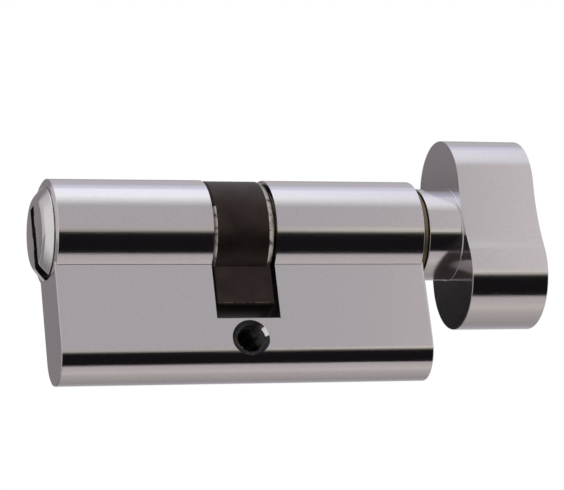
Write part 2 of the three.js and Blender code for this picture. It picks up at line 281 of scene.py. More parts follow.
def rounded_rectangle(a, b, corner):
    """The points of a rectangle with half sizes a and b and rounded corners."""
    return soften_loop([(-a, -b, corner), (a, -b, corner), (a, b, corner), (-a, b, corner)])


def arc_points(centre, radius, start, end, steps):
    """Points of an arc about a centre, its end left out."""
    span = end - start
    angles = [start + span * i / steps for i in range(steps)]
    return [(centre[0] + radius * math.cos(a), centre[1] + radius * math.sin(a)) for a in angles]


def rounded_ends(start, end, size):
    """(x, inset) pairs along a bar whose two ends are rounded off over size."""
    quarter = [math.pi / 2 * i / END_STEPS for i in range(END_STEPS + 1)]
    first = [(start + size * (1 - math.sin(a)), size * (1 - math.cos(a))) for a in reversed(quarter)]
    last = [(end - size * (1 - math.sin(a)), size * (1 - math.cos(a))) for a in quarter]
    return first + last


def circle(radius, sides, put):
    """Points of a circle, put in space by put(u, v)."""
    angles = [2 * math.pi * i / sides for i in range(sides)]
    return [put(radius * math.cos(a), radius * math.sin(a)) for a in angles]


def turn_x(name, corners, sides=ROUND_SIDES):
    """A profile of (x, radius) corners, from the axis to the axis, turned about X."""
    rings = [circle(r, sides, lambda u, v, x=x: (x, u, v)) for x, r in soften(corners)]
    return loft(name, rings, ends_closed=False)


def turn_z(name, corners, x):
    """A profile of (z, radius) corners, from axis to axis, turned about a vertical at x."""
    rings = [circle(r, PIN_SIDES, lambda u, v, z=z: (x + u, v, z)) for z, r in soften(corners)]
    return loft(name, rings, ends_closed=False)


def block(name, low, high):
    """A plain box, used only to cut with or to be cut."""
    ring = [(low[1], low[2]), (high[1], low[2]), (high[1], high[2]), (low[1], high[2])]
    return loft(name, [[(x, y, z) for y, z in ring] for x in (low[0], high[0])])


def combine(obj, others, operation):
    """Cuts the others out of obj, or joins them to it, and removes them."""
    for other in others:
        modifier = obj.modifiers.new("combine", "BOOLEAN")
        modifier.operation = operation
        modifier.solver = "EXACT"
        modifier.object = other
    bpy.context.view_layer.update()
    evaluated = obj.evaluated_get(bpy.context.evaluated_depsgraph_get())
    mesh = bpy.data.meshes.new_from_object(evaluated)
    obj.modifiers.clear()
    obj.data = mesh
    for other in others:
        bpy.data.objects.remove(other)
    tidy_mesh(obj.data)
    return obj


def round_edges(obj, chosen, size):
    """Rounds off the edges for which chosen(a, b) holds, a and b being in millimetres."""
    bm = bmesh.new()
    bm.from_mesh(obj.data)
    edges = [e for e in bm.edges if chosen(e.verts[0].co / MM, e.verts[1].co / MM)]
    bmesh.ops.bevel(bm, geom=edges, offset=size * MM, offset_type="OFFSET",
                    segments=EDGE_SEGMENTS, profile=0.5, affect="EDGES", clamp_overlap=True)
    bm.to_mesh(obj.data)
    bm.free()


def shade(obj):
    """Smooth shading that keeps flat faces flat beside their rounded edges."""
    for polygon in obj.data.polygons:
        polygon.use_smooth = True
    obj.data.set_sharp_from_angle(angle=math.radians(SHARP_DEGREES))
    weighted = obj.modifiers.new("weighted_normals", "WEIGHTED_NORMAL")
    weighted.mode = "FACE_AREA"
    weighted.weight = 60
    weighted.keep_sharp = True


def place(obj, body, node, slot, *materials):
    """Shades a piece, gives it its materials and puts it on its body in its node's stead."""
    shade(obj)
    for material in materials:
        obj.data.materials.append(material)
    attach(obj, body)
    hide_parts(node)
    return obj


def paint_faces(obj, slot_index, chosen):
    """Gives the faces for which chosen(centre, normal) holds another material slot."""
    for polygon in obj.data.polygons:
        if chosen(polygon.center / MM, polygon.normal):
            polygon.material_index = slot_index


# ---- materials --------------------------------------------------------------------

class Nodes:
    """Short calls for building a node tree."""

    def __init__(self, tree):
        self.tree = tree

    def add(self, kind, **settings):
        node = self.tree.nodes.new(kind)
        for key, value in settings.items():
            setattr(node, key, value)
        return node

    def link(self, source, target):
        self.tree.links.new(source, target)

    def noise(self, stretch=(1, 1, 1), scale=1.0, detail=4.0, roughness=0.55):
        """Noise over object coordinates, which are first stretched per axis."""
        coords = self.add("ShaderNodeTexCoord")
        mapping = self.add("ShaderNodeMapping")
        mapping.inputs["Scale"].default_value = stretch
        self.link(coords.outputs["Object"], mapping.inputs["Vector"])
        node = self.add("ShaderNodeTexNoise")
        node.inputs["Scale"].default_value = scale
        node.inputs["Detail"].default_value = detail
        node.inputs["Roughness"].default_value = roughness
        self.link(mapping.outputs["Vector"], node.inputs["Vector"])
        return node.outputs["Fac"]

    def ramp(self, value, stops):
        """Colours that a value from 0 to 1 runs through, as (position, colour) stops."""
        node = self.add("ShaderNodeValToRGB")
        elements = node.color_ramp.elements
        while len(elements) < len(stops):
            elements.new(0.5)
        for element, (position, colour) in zip(elements, stops):
            element.position = position
            element.color = (*colour, 1)
        self.link(value, node.inputs["Fac"])
        return node.outputs["Color"]

    def spread(self, value, low, high):
        """Maps 0..1 onto low..high."""
        node = self.add("ShaderNodeMapRange")
        node.inputs["To Min"].default_value = low
        node.inputs["To Max"].default_value = high
        self.link(value, node.inputs["Value"])
        return node.outputs["Result"]

    def spread_from(self, value, low, high):
        """Maps low..high onto 0..1."""
        node = self.add("ShaderNodeMapRange")
        node.inputs["From Min"].default_value = low
        node.inputs["From Max"].default_value = high
        self.link(value, node.inputs["Value"])
        return node.outputs["Result"]

    def multiply(self, value, by):
        """A value times a number or times another value."""
        node = self.add("ShaderNodeMath", operation="MULTIPLY")
        self.link(value, node.inputs[0])
        if isinstance(by, (int, float)):
            node.inputs[1].default_value = by
        else:
            self.link(by, node.inputs[1])
        return node.outputs[0]

    def mix(self, factor, under, over):
        """A colour from a socket, covered by a plain colour as far as the factor says."""
        node = self.add("ShaderNodeMix", data_type="RGBA")
        self.link(factor, node.inputs["Factor"])
        self.link(under, node.inputs["A"])
        node.inputs["B"].default_value = (*over, 1)
        return node.outputs["Result"]

    def bump(self, height, distance, strength, normal=None):
        """A normal tilted by a height, over another bump's normal if there is one."""
        node = self.add("ShaderNodeBump")
        node.inputs["Strength"].default_value = strength
        node.inputs["Distance"].default_value = distance
        self.link(height, node.inputs["Height"])
        if normal is not None:
            self.link(normal, node.inputs["Normal"])
        return node.outputs["Normal"]


def new_material(name, metallic=1.0):
    """An empty Principled material: (material, node helper, shader)."""
    material = bpy.data.materials.new(name)
    material.use_nodes = True
    nodes = Nodes(material.node_tree)
    shader = material.node_tree.nodes["Principled BSDF"]
    shader.inputs["Metallic"].default_value = metallic
    return material, nodes, shader


def dress(nodes, shader, colour, roughness, normal):
    """Links the three sockets that every finish here drives."""
    nodes.link(colour, shader.inputs["Base Color"])
    nodes.link(roughness, shader.inputs["Roughness"])
    nodes.link(normal, shader.inputs["Normal"])


def satin_nickel(name, draw):
    """Nickel plate over drawn brass: fine lines along the draw, soft mottling, faint waves."""
    material, nodes, shader = new_material(name)
    grain = nodes.noise(draw, detail=3.0, roughness=0.6)
    specks = nodes.noise(scale=2400.0, detail=3.0, roughness=0.6)
    waves = nodes.noise(scale=60.0, detail=1.0)
    dress(nodes, shader,
          colour=nodes.ramp(specks, [(0.3, (0.635, 0.605, 0.630)), (0.7, (0.670, 0.640, 0.668))]),
          roughness=nodes.spread(grain, 0.08, 0.17),
          normal=nodes.bump(waves, 0.0002, 0.04, nodes.bump(grain, 0.00002, 0.2)))
    return material


def turned_brass(name, turning, dark=(0.62, 0.42, 0.16), light=(0.78, 0.58, 0.27), dull=0):
    """Bare brass with the fine rings that the lathe leaves."""
    material, nodes, shader = new_material(name)
    rings = nodes.noise(turning, detail=2.0, roughness=0.5)
    tarnish = nodes.noise(scale=350.0)
    dress(nodes, shader,
          colour=nodes.ramp(tarnish, [(0.3, dark), (0.7, light)]),
          roughness=nodes.spread(rings, 0.18 + dull, 0.36 + dull),
          normal=nodes.bump(rings, 0.00003, 0.4))
    return material


def bare_brass_in_painted_shade(name, turning):
    """Bare brass, cut after the plating, mostly near black as painted shade for deep recesses, with
    patches of brass tint.
    """
    material, nodes, shader = new_material(name, metallic=0.7)
    rings = nodes.noise(turning, detail=2.0, roughness=0.5)
    shade_patches = nodes.noise(scale=700.0, roughness=0.6)
    dress(nodes, shader,
          colour=nodes.ramp(shade_patches, [(0.5, (0.024, 0.024, 0.030)), (0.78, (0.16, 0.11, 0.065))]),
          roughness=nodes.spread(shade_patches, 0.22, 0.45),
          normal=nodes.bump(rings, 0.00003, 0.4))
    return material


def sintered_steel(name):
    """Steam-darkened sintered steel: a fine granular skin in uneven browns."""
    material, nodes, shader = new_material(name, metallic=0.85)
    grains = nodes.noise(scale=5200.0, roughness=0.65)
    patches = nodes.noise(scale=260.0, detail=3.0)
    dress(nodes, shader,
          colour=nodes.ramp(patches, [(0.3, (0.028, 0.020, 0.018)), (0.7, (0.048, 0.034, 0.031))]),
          roughness=nodes.spread(grains, 0.33, 0.5),
          normal=nodes.bump(grains, 0.00004, 0.5))
    return material


def steel_wear_and_highlight(name, dark=(0.10, 0.075, 0.065), light=(0.52, 0.48, 0.46)):
    """Where the black skin has rubbed through to bare steel, with traces of it left; also the
    lighter steel of painted highlights.
    """
    material, nodes, shader = new_material(name)
    # rubbed drives the lighter steel: wear on the cam's chamfers, a painted highlight on the tail's
    # corners
    rubbed = nodes.noise(scale=900.0, roughness=0.6)
    dress(nodes, shader,
          colour=nodes.ramp(rubbed, [(0.36, dark), (0.5, light)]),
          roughness=nodes.spread(rubbed, 0.42, 0.24),
          normal=nodes.bump(rubbed, 0.00002, 0.3))
    return material


def spring_steel(name):
    """Drawn steel wire and stamped strip with a slight blue-gray tone."""
    material, nodes, shader = new_material(name)
    skin = nodes.noise(scale=2600.0, detail=3.0)
    dress(nodes, shader,
          colour=nodes.ramp(skin, [(0.3, (0.36, 0.37, 0.40)), (0.7, (0.52, 0.53, 0.56))]),
          roughness=nodes.spread(skin, 0.2, 0.38),
          normal=nodes.bump(skin, 0.00002, 0.3))
    return material


def black_oxide(name):
    """Blackened steel of the set screw, rubbed brighter on its high spots."""
    material, nodes, shader = new_material(name)
    rubbed = nodes.noise(scale=1500.0)
    dress(nodes, shader,
          colour=nodes.ramp(rubbed, [(0.45, (0.03, 0.03, 0.034)), (0.75, (0.12, 0.12, 0.125))]),
          roughness=nodes.spread(rubbed, 0.32, 0.5),
          normal=nodes.bump(rubbed, 0.00002, 0.3))
    return material


# Noise scale per axis. Lines run along the axes where it is small: drawn along X, or turned
# about X as rings.
NICKEL_DRAWN = satin_nickel("nickel_drawn", (60, 9000, 9000))
NICKEL_TURNED = satin_nickel("nickel_turned", (9000, 300, 300))
BRASS_TURNED = turned_brass("brass_turned", (7000, 200, 200))
# darker, rougher brass: painted shade on the flange in the gap by the knob
BRASS_FLANGE_PAINTED_SHADE = turned_brass("brass_flange_painted_shade", (7000, 200, 200),
                          dark=(0.17, 0.135, 0.09), light=(0.27, 0.22, 0.15), dull=0.25)
BRASS_PIN = turned_brass("brass_pin", (200, 200, 7000))
# near-black brass: painted shade inside the keyway and the tapped hole
BRASS_IN_PAINTED_SHADE = bare_brass_in_painted_shade("brass_in_painted_shade", (400, 7000, 400))
SINTERED = sintered_steel("sintered_steel")
# lighter steel on the cam's chamfers: wear and painted highlight
CHAMFER_WEAR_AND_HIGHLIGHT = steel_wear_and_highlight("steel_wear_and_highlight")
# slightly lighter steel for a painted highlight line on the tail's corners
TAIL_CORNER_PAINTED_HIGHLIGHT = steel_wear_and_highlight("tail_corner_painted_highlight", dark=(0.03, 0.025, 0.022), light=(0.11, 0.095, 0.085))
SPRING = spring_steel("spring_steel")
BLACK = black_oxide("black_oxide")


# ---- the cylinder body ------------------------------------------------------------

def keyhole_ring(x, barrel_inset, web_inset):
    """The standard profile at x, pulled in: barrel, small fillets, web sides, round foot."""
    barrel = BARREL_RADIUS - barrel_inset
    half = WEB_HALF - web_inset
    fillet_y = half + WEB_FILLET
    from_level = math.acos(fillet_y / (barrel + WEB_FILLET))
    fillet_z = -math.sin(from_level) * (barrel + WEB_FILLET)
    left_fillet, right_fillet = (-fillet_y, fillet_z), (fillet_y, fillet_z)
    ring = arc_points((0, 0), barrel, -from_level, math.pi + from_level, BARREL_STEPS)
    ring += arc_points(left_fillet, WEB_FILLET, from_level, 0, ROUNDING_STEPS)
    ring += [(-half, fillet_z)]
    ring += arc_points((0, FOOT_CENTRE_Z), half, math.pi, 2 * math.pi, HALF_ROUND_STEPS)
    ring += [(half, FOOT_CENTRE_Z), (half, fillet_z)]
    ring += arc_points(right_fillet, WEB_FILLET, math.pi, math.pi - from_level, ROUNDING_STEPS)[1:]
    return [(x, y, z) for y, z in ring]


def end_insets(depth):
    """How far barrel and web are pulled in at a depth from an end.

    The barrel has a chamfer that runs out smoothly, and the web a small rounding.
    """
    left = BARREL_END_CHAMFER_LENGTH - depth
    soft = CHAMFER_RUN_OUT
    along = left if left > soft else max(left + soft, 0) ** 2 / (4 * soft)
    barrel = along * BARREL_END_CHAMFER_DEPTH / BARREL_END_CHAMFER_LENGTH
    within = max(WEB_END_ROUND - depth, 0)
    return barrel, WEB_END_ROUND - math.sqrt(WEB_END_ROUND ** 2 - within ** 2)


def profile_rings():
    """Rings along the body, close together where its ends are chamfered and rounded."""
    quarter = [math.pi / 2 * i / END_STEPS for i in range(END_STEPS + 1)]
    rounding = [WEB_END_ROUND * (1 - math.cos(a)) for a in quarter]
    run_out = [CHAMFER_RUN_OUT * share for share in (-1, -0.5, 0, 0.5, 1)]
    chamfer = [BARREL_END_CHAMFER_LENGTH + offset for offset in run_out]
    depths = rounding + chamfer
    first = [(depth - HALF_LENGTH, *end_insets(depth)) for depth in depths]
    last = [(HALF_LENGTH - depth, *end_insets(depth)) for depth in reversed(depths)]
    return [keyhole_ring(*station) for station in first + last]


def thread_ring(turn, sides, radius, depth, put):
    """One ring across a helical thread, turn being how many pitches along it lies."""
    ring = []
    for j in range(sides):
        phase = (turn - j / sides) % 1
        reach = radius - depth * abs(2 * phase - 1)
        angle = 2 * math.pi * j / sides
        ring.append(put(reach * math.cos(angle), reach * math.sin(angle)))
    return ring


def threaded_bore():
    """The shape of the tapped hole along Y, with its helical thread, to be cut out."""
    start = -WEB_HALF - THREAD_PITCH
    turns = round(2 * -start / THREAD_PITCH)
    rings = []
    for i in range(turns * THREAD_RINGS_PER_PITCH + 1):
        turn = i / THREAD_RINGS_PER_PITCH
        y = start + turn * THREAD_PITCH
        rings.append(thread_ring(turn, HOLE_SIDES, FIXING_HOLE_RADIUS, THREAD_DEPTH,
                                 lambda u, v, y=y: (u, y, FIXING_HOLE_Z + v)))
    return loft("threaded_bore", rings)


def hole_mouth(side):
    """The small countersink at one mouth of the tapped hole, to be cut out."""
    depth = FIXING_HOLE_MOUTH - FIXING_HOLE_RADIUS
    levels = [(WEB_HALF + depth, FIXING_HOLE_MOUTH + depth), (WEB_HALF - depth, FIXING_HOLE_RADIUS)]
    rings = []
    for y, radius in levels:
        rings.append(circle(radius, HOLE_SIDES, lambda u, v, y=y: (u, side * y, FIXING_HOLE_Z + v)))
    return loft("hole_mouth", rings)


def pin_x(number):
    """Where along the plug a pin stack stands."""
    low, high = node_span(f"driver_pin_{number}")
    return (low + high) / 2


def pin_bore(number, low, top):
    """A straight hole for a pin stack, to be cut out."""
    corners = [(low, 0), (low, PIN_HOLE_RADIUS), (top, PIN_HOLE_RADIUS), (top, 0)]
    return turn_z("pin_bore", corners, pin_x(number))


def cylinder_body():
    body = loft("fine_cylinder_body", profile_rings())
    reach = HALF_LENGTH + PAST
    bore_corners = [(-reach, 0), (-reach, PLUG_BORE_RADIUS), (reach, PLUG_BORE_RADIUS), (reach, 0)]
    wide = BARREL_RADIUS + PAST
    cutters = [
        turn_x("plug_bore", bore_corners),
        block("cam_slot", (-SLOT_HALF, -wide, SLOT_FLOOR), (SLOT_HALF, wide, wide)),
        threaded_bore(),
        hole_mouth(-1),
        hole_mouth(1),
        *[pin_bore(number, BODY_LOW.z - PAST, 0) for number in PIN_NUMBERS],
    ]
    combine(body, cutters, "DIFFERENCE")
    round_edges(body, slot_barrel_rim, SLOT_RIM_ROUND)
    round_edges(body, slot_web_rim, SLOT_RIM_ROUND)
    round_edges(body, bore_rim, BORE_RIM_ROUND)
    # painted shade in the tapped hole, with one glint spot left bright
    paint_faces(body, 1, in_fixing_hole)
    return body


def in_cross_plane(a, b, x):
    """Whether an edge lies across the body, at x or at -x."""
    return all(abs(abs(p.x) - x) < FLAT_NEAR for p in (a, b)) and a.x * b.x > 0


def around_axis(a, b, radius):
    return all(abs(math.hypot(p.y, p.z) - radius) < ROUND_NEAR for p in (a, b))


def slot_barrel_rim(a, b):
    return in_cross_plane(a, b, SLOT_HALF) and around_axis(a, b, BARREL_RADIUS)


def slot_web_rim(a, b):
    on_web = all(abs(abs(p.y) - WEB_HALF) < FLAT_NEAR for p in (a, b)) and a.y * b.y > 0
    above_floor = min(a.z, b.z) > SLOT_FLOOR - FLAT_NEAR
    return in_cross_plane(a, b, SLOT_HALF) and on_web and above_floor


def bore_rim(a, b):
    return in_cross_plane(a, b, HALF_LENGTH) and around_axis(a, b, PLUG_BORE_RADIUS)


def in_fixing_hole(centre, normal):
    """The thread and the countersinks at its mouths, painted near black as shade, apart from one
    spot of the countersinks kept bright nickel as a painted glint.
    """
    up = centre.z - FIXING_HOLE_Z
    reach = math.hypot(centre.x, up)
    turned_inwards = centre.x * normal.x + up * normal.z < CLEAR / 2
    angle = math.degrees(math.atan2(up, centre.x))
    in_glint_spot = GLINT_SPOT_DEGREES[0] < angle < GLINT_SPOT_DEGREES[1]
    # the spot kept bright nickel is a painted glint
    rubbed = in_glint_spot and reach > FIXING_HOLE_RADIUS + 2 * CLEAR
    inside = reach < FIXING_HOLE_MOUTH and abs(centre.y) < WEB_HALF - CLEAR
    return turned_inwards and inside and not rubbed


def chamber_cap(number):
    """A slug pressed into a pin chamber and dressed flush with the round foot."""
    x = pin_x(number)
    low = BODY_LOW.z - PAST
    top = node_span(f"chamber_cap_{number}", 2)[1]
    corners = [(low, 0), (low, CAP_RADIUS), (top, CAP_RADIUS, CAP_ROUND), (top, 0)]
    cap = turn_z(f"fine_chamber_cap_{number}", corners, x)
    foot_ring = arc_points((0, FOOT_CENTRE_Z), WEB_HALF, 0, 2 * math.pi, ROUND_SIDES)
    half = 2 * PIN_HOLE_RADIUS
    foot = loft("foot", [[(x + dx, y, z) for y, z in foot_ring] for dx in (-half, half)])
    return combine(cap, [foot], "INTERSECT")


# ---- the key side -----------------------------------------------------------------

def keyway():
    """A generic warded slot along the plug, open at the foot, to be cut out."""
    wide, narrow = KEYWAY_HALF, KEYWAY_NECK_HALF
    upper_top, upper_bottom = KEYWAY_UPPER_WARD
    lower_top, lower_bottom = KEYWAY_LOWER_WARD
    foot = -PLUG_RADIUS - PAST
    corner = KEYWAY_CORNER
    outline = [
        (wide, foot), (wide, lower_bottom, corner),
        (narrow, lower_bottom + KEYWAY_WARD_SLOPE, corner),
        (narrow, lower_top - KEYWAY_WARD_SLOPE, corner), (wide, lower_top, corner),
        (wide, KEYWAY_HEAD, KEYWAY_HEAD_ROUND), (-wide, KEYWAY_HEAD, KEYWAY_HEAD_ROUND),
        (-wide, upper_top, corner), (-narrow, upper_top - KEYWAY_WARD_SLOPE, corner),
        (-narrow, upper_bottom + KEYWAY_WARD_SLOPE, corner), (-wide, upper_bottom, corner),
        (-wide, foot),
    ]
    start = node_span("key_plug")[0] - PAST
    loop = soften(outline)
    return loft("keyway", [[(x, y, z) for y, z in loop] for x in (start, DOG_POCKET_X + PAST)])


def circlip_groove(node):
    """The corners of the groove that a circlip sits in, in a plug's profile."""
    start, end = node_span(node)
    left, right = start - RUNNING_GAP, end + RUNNING_GAP
    return [(left, PLUG_RADIUS, GROOVE_EDGE_ROUND), (left, GROOVE_RADIUS),
            (right, GROOVE_RADIUS), (right, PLUG_RADIUS, GROOVE_EDGE_ROUND)]


def dog_half_sizes(room=0):
    """Half the clutch dog's width and height, with room around it."""
    return [node_span("clutch_dog", axis)[1] + room for axis in (1, 2)]


def key_plug():
    """The plug with its nose, keyway, pin holes and the pocket for the clutch dog."""
    face, end = node_span("key_plug")
    plug = turn_x("fine_key_plug", [
        (face, 0), (face, NOSE_FACE_RADIUS, NOSE_FACE_ROUND),
        (NOSE_RIM_X, NOSE_RIM_RADIUS, NOSE_RIM_ROUND),
        (NOSE_BASE_X - NOSE_BASE_LIP, NOSE_BASE_RADIUS, NOSE_BASE_LIP / 2),
        (NOSE_BASE_X, NOSE_BASE_RADIUS, 0.4 * NOSE_BASE_LIP), (NOSE_BASE_X, PLUG_RADIUS),
        *circlip_groove("key_circlip"),
        (end, PLUG_RADIUS, PLUG_END_ROUND), (end, 0)])
    half, height = dog_half_sizes(DOG_ROOM)
    pocket = block("dog_pocket", (DOG_POCKET_X, -half, -height), (end + PAST, half, height))
    foot = -PLUG_RADIUS - PAST
    pin_holes = [pin_bore(number, foot, PIN_HOLE_TOP) for number in PIN_NUMBERS]
    combine(plug, [keyway(), pocket, *pin_holes], "DIFFERENCE")
    # the keyway's walls: bare brass darkened as painted shade
    paint_faces(plug, 1, in_keyway)
    return plug


def in_keyway(centre, normal):
    """The walls of the slot, which the cutter leaves bare of plating, given near-black brass as
    painted shade for the deep slot.
    """
    in_slot = abs(centre.y) < KEYWAY_HALF + CLEAR and centre.z < KEYWAY_HEAD + CLEAR
    below_skin = math.hypot(centre.y, centre.z) < PLUG_RADIUS - 5 * CLEAR
    return in_slot and below_skin and abs(normal.x) < RUNS_ALONG_X


def key_pin(number):
    """A pin with a slightly domed foot and a cone at the tip that meets the key."""
    node = f"key_pin_{number}"
    foot, tip = node_span(node, 2)
    return turn_z(f"fine_{node}", [
        (foot, 0), (foot, PIN_RADIUS - PIN_ROUND, 0.3),
        (foot + KEY_PIN_FOOT_HEIGHT, PIN_RADIUS, 0.15),
        (tip - KEY_PIN_TIP_HEIGHT, PIN_RADIUS, 0.2),
        (tip, KEY_PIN_TIP_RADIUS, 0.2), (tip, 0)], pin_x(number))


def driver_pin(number):
    node = f"driver_pin_{number}"
    foot, top = node_span(node, 2)
    return turn_z(f"fine_{node}", [
        (foot, 0), (foot, PIN_RADIUS, PIN_ROUND), (top, PIN_RADIUS, PIN_ROUND), (top, 0)],
        pin_x(number))


def coil(name, start, end, put):
    """A coil of round wire between two heights, put in space by put(u, v, w)."""
    steps = SPRING_TURNS * COIL_STEPS_PER_TURN
    first = start + SPRING_WIRE_RADIUS
    rise = end - start - 2 * SPRING_WIRE_RADIUS
    rings = []
    for i in range(steps + 1):
        angle = 2 * math.pi * i / COIL_STEPS_PER_TURN
        height = first + rise * i / steps
        ring = []
        for j in range(WIRE_SIDES):
            around = 2 * math.pi * j / WIRE_SIDES
            radius = SPRING_COIL_RADIUS + SPRING_WIRE_RADIUS * math.cos(around)
            lift = SPRING_WIRE_RADIUS * math.sin(around)
            ring.append(put(radius * math.cos(angle), radius * math.sin(angle), height + lift))
        rings.append(ring)
    return loft(name, rings)


def pin_spring(number):
    node = f"pin_spring_{number}"
    low, high = node_span(node, 2)
    x = pin_x(number)
    return coil(f"fine_{node}", low, high, lambda u, v, w: (x + u, v, w))


def clutch_spring():
    low, high = node_span("clutch_spring")
    return coil("fine_clutch_spring", low, high, lambda u, v, w: (w, u, v))


def circlip(node):
    """An open retaining ring with rounded edges, its mouth at the top."""
    start, end = node_span(node)
    outer = node_span(node, 1)[1]
    ring_middle = (outer + CIRCLIP_INNER_RADIUS) / 2
    ring_half = (outer - CIRCLIP_INNER_RADIUS) / 2
    loop = rounded_rectangle(ring_half, (end - start) / 2, CIRCLIP_ROUND)
    first = math.pi / 2 + CIRCLIP_MOUTH / 2
    sweep = 2 * math.pi - CIRCLIP_MOUTH
    rings = []
    for i in range(CIRCLIP_STEPS + 1):
        angle = first + sweep * i / CIRCLIP_STEPS
        ring = []
        for across, along in loop:
            radius = ring_middle + across
            x = (start + end) / 2 + along
            ring.append((x, radius * math.cos(angle), radius * math.sin(angle)))
        rings.append(ring)
    return loft(f"fine_{node}", rings)


def clutch_dog():
    """A bar along X with rounded corners and rounded ends."""
    half, height = dog_half_sizes()
    rings = []
    for x, inset in rounded_ends(*node_span("clutch_dog"), DOG_END_ROUND):
        loop = rounded_rectangle(half - inset, height - inset, DOG_CORNER)
        rings.append([(x, y, z) for y, z in loop])
    return loft("fine_clutch_dog", rings)


# ---- the cam ----------------------------------------------------------------------

def cam_tail():
    """The tail that throws the bolt, rounded on every edge, round at its tip."""
    tip_radius = -node_span("cam", 2)[0]
    root_z = -CAM_RADIUS / 2
    down = -math.pi / 2
    corner = CAM_TAIL_TIP_CORNER
    rings = []
    for x, inset in rounded_ends(-CAM_TAIL_HALF_WIDTH, CAM_TAIL_HALF_WIDTH, CAM_TAIL_ROUND):
        half = CAM_TAIL_HALF_THICKNESS - inset
        tip = tip_radius - inset
        spread = math.asin(half / tip)
        arc = arc_points((0, 0), tip, down - spread, down + spread, ARC_STEPS)
        arc.append((half, -math.sqrt(tip ** 2 - half ** 2)))
        # the points next to each end of the arc give way to the rounding of its corner
        line = [(-half, root_z), (*arc[0], corner), *arc[3:-3], (*arc[-1], corner), (half, root_z)]
        rings.append([(x, y, z) for y, z in soften(line)])
    return loft("cam_tail", rings)


def cam():
    """A ring with a tail, a web across its middle and a slot in the web for the dog."""
    start, end = node_span("cam")
    edge = CAM_EDGE_ROUND
    piece = turn_x("fine_cam", [
        (start, 0), (start, CAM_RADIUS - CAM_KEY_SIDE_CHAMFER, edge),
        (start + CAM_KEY_SIDE_CHAMFER, CAM_RADIUS, edge),
        (end - CAM_TURN_SIDE_CHAMFER_LENGTH, CAM_RADIUS, edge),
        (end, CAM_RADIUS - CAM_TURN_SIDE_CHAMFER_DEPTH, edge), (end, 0)])
    combine(piece, [cam_tail()], "UNION")
    half, height = dog_half_sizes(DOG_ROOM)
    key_side = [(start - PAST, 0), (start - PAST, CAM_BORE_RADIUS),
                (CAM_WEB_START_X, CAM_BORE_RADIUS), (CAM_WEB_START_X, 0)]
    turn_side = [(CAM_WEB_END_X, 0), (CAM_WEB_END_X, CAM_BORE_RADIUS),
                 (end + PAST, CAM_BORE_RADIUS), (end + PAST, 0)]
    combine(piece, [
        turn_x("key_side_counterbore", key_side),
        turn_x("turn_side_counterbore", turn_side),
        block("drive_slot", (start, -half, -height), (end, half, height))], "DIFFERENCE")
    # slot 1: chamfers in lighter steel, wear and painted highlight
    paint_faces(piece, 1, on_cam_chamfer)
    # slot 2: a painted highlight line on the tail's corners
    paint_faces(piece, 2, on_tail_corner)
    return piece


def on_cam_chamfer(centre, normal):
    """The ring's chamfers in lighter steel, partly rubbed bare and partly a painted highlight: all
    of the knob side's, the key side's lower part; its upper part stays dark as painted shade.
    """
    reach = math.hypot(centre.y, centre.z)
    sloping = 0.25 < abs(normal.x) < 0.95
    on_rim = reach > CAM_RADIUS - CAM_KEY_SIDE_CHAMFER and centre.z > -CAM_RADIUS
    lighter_chamfer = centre.x > 0 or centre.z < CAM_LIGHT_CHAMFER_BELOW_Z
    return sloping and on_rim and lighter_chamfer


def on_tail_corner(centre, normal):
    """The start of the rounding from the tail's flat sides to its tip, given lighter steel as a
    painted highlight line.
    """
    on_tail = centre.z < -CAM_RADIUS and abs(normal.x) < RUNS_ALONG_X
    return on_tail and 0.9 < abs(normal.y) < 0.999


# ---- the knob side ----------------------------------------------------------------

def turn_plug():
    """The plug that the knob turns, with two lugs that drive the cam."""
    start, end = node_span("turn_plug")
    plug = turn_x("fine_turn_plug", [
        (TURN_PLUG_START_X, 0), (TURN_PLUG_START_X, PLUG_RADIUS, TURN_PLUG_START_ROUND),
        *circlip_groove("turn_circlip"),
        (FLANGE_START_X, PLUG_RADIUS), (FLANGE_START_X, FLANGE_RADIUS, FLANGE_ROUND),
        (FLANGE_END_X, FLANGE_RADIUS, FLANGE_ROUND), (FLANGE_END_X, SHANK_RADIUS),
        (end, SHANK_RADIUS, SHANK_END_ROUND), (end, 0)])
    half, height = dog_half_sizes()
    root = TURN_PLUG_START_X + LUG_OVERLAP
    lugs = [
        block("lug", (start, -half, LUG_INNER_Z), (root, half, height)),
        block("lug", (start, -half, -height), (root, half, -LUG_INNER_Z))]
    combine(plug, lugs, "UNION")
    bore_start = TURN_PLUG_START_X - PAST
    bore = [(bore_start, 0), (bore_start, SPRING_BORE_RADIUS),
            (SPRING_BORE_END_X, SPRING_BORE_RADIUS), (SPRING_BORE_END_X, 0)]
    combine(plug, [turn_x("spring_bore", bore, PIN_SIDES)], "DIFFERENCE")
    # the flange in the gap gets painted shade
    paint_faces(plug, 1, on_flange)
    return plug


def on_flange(centre, _normal):
    """The flange that shows in the gap between the body and the knob's neck, given darker, rougher
    brass as painted shade.
    """
    off_shank = math.hypot(centre.y, centre.z) > SHANK_RADIUS + CLEAR
    return off_shank and centre.x > FLANGE_START_X - CLEAR


def knob_loop(inset):
    """The waisted oval of the grip in its own upright plane, pulled in by inset.

    Two round lobes are joined by two hollows that touch them, which fixes the hollows' radius.
    """
    lobe = KNOB_LOBE_RADIUS - inset
    squares = KNOB_WAIST_HALF ** 2 + KNOB_LOBE_OFFSET ** 2 - KNOB_LOBE_RADIUS ** 2
    waist = squares / (2 * (KNOB_LOBE_RADIUS - KNOB_WAIST_HALF))
    centre = KNOB_WAIST_HALF + waist
    blend = math.atan2(KNOB_LOBE_OFFSET, centre)
    hollow = waist + inset
    top, bottom = (0, KNOB_LOBE_OFFSET), (0, -KNOB_LOBE_OFFSET)
    loop = arc_points(top, lobe, -blend, math.pi + blend, HALF_ROUND_STEPS)
    loop += arc_points((-centre, 0), hollow, blend, -blend, ARC_STEPS)
    loop += arc_points(bottom, lobe, math.pi - blend, 2 * math.pi + blend, HALF_ROUND_STEPS)
    loop += arc_points((centre, 0), hollow, math.pi + blend, math.pi - blend, ARC_STEPS)
    return loop


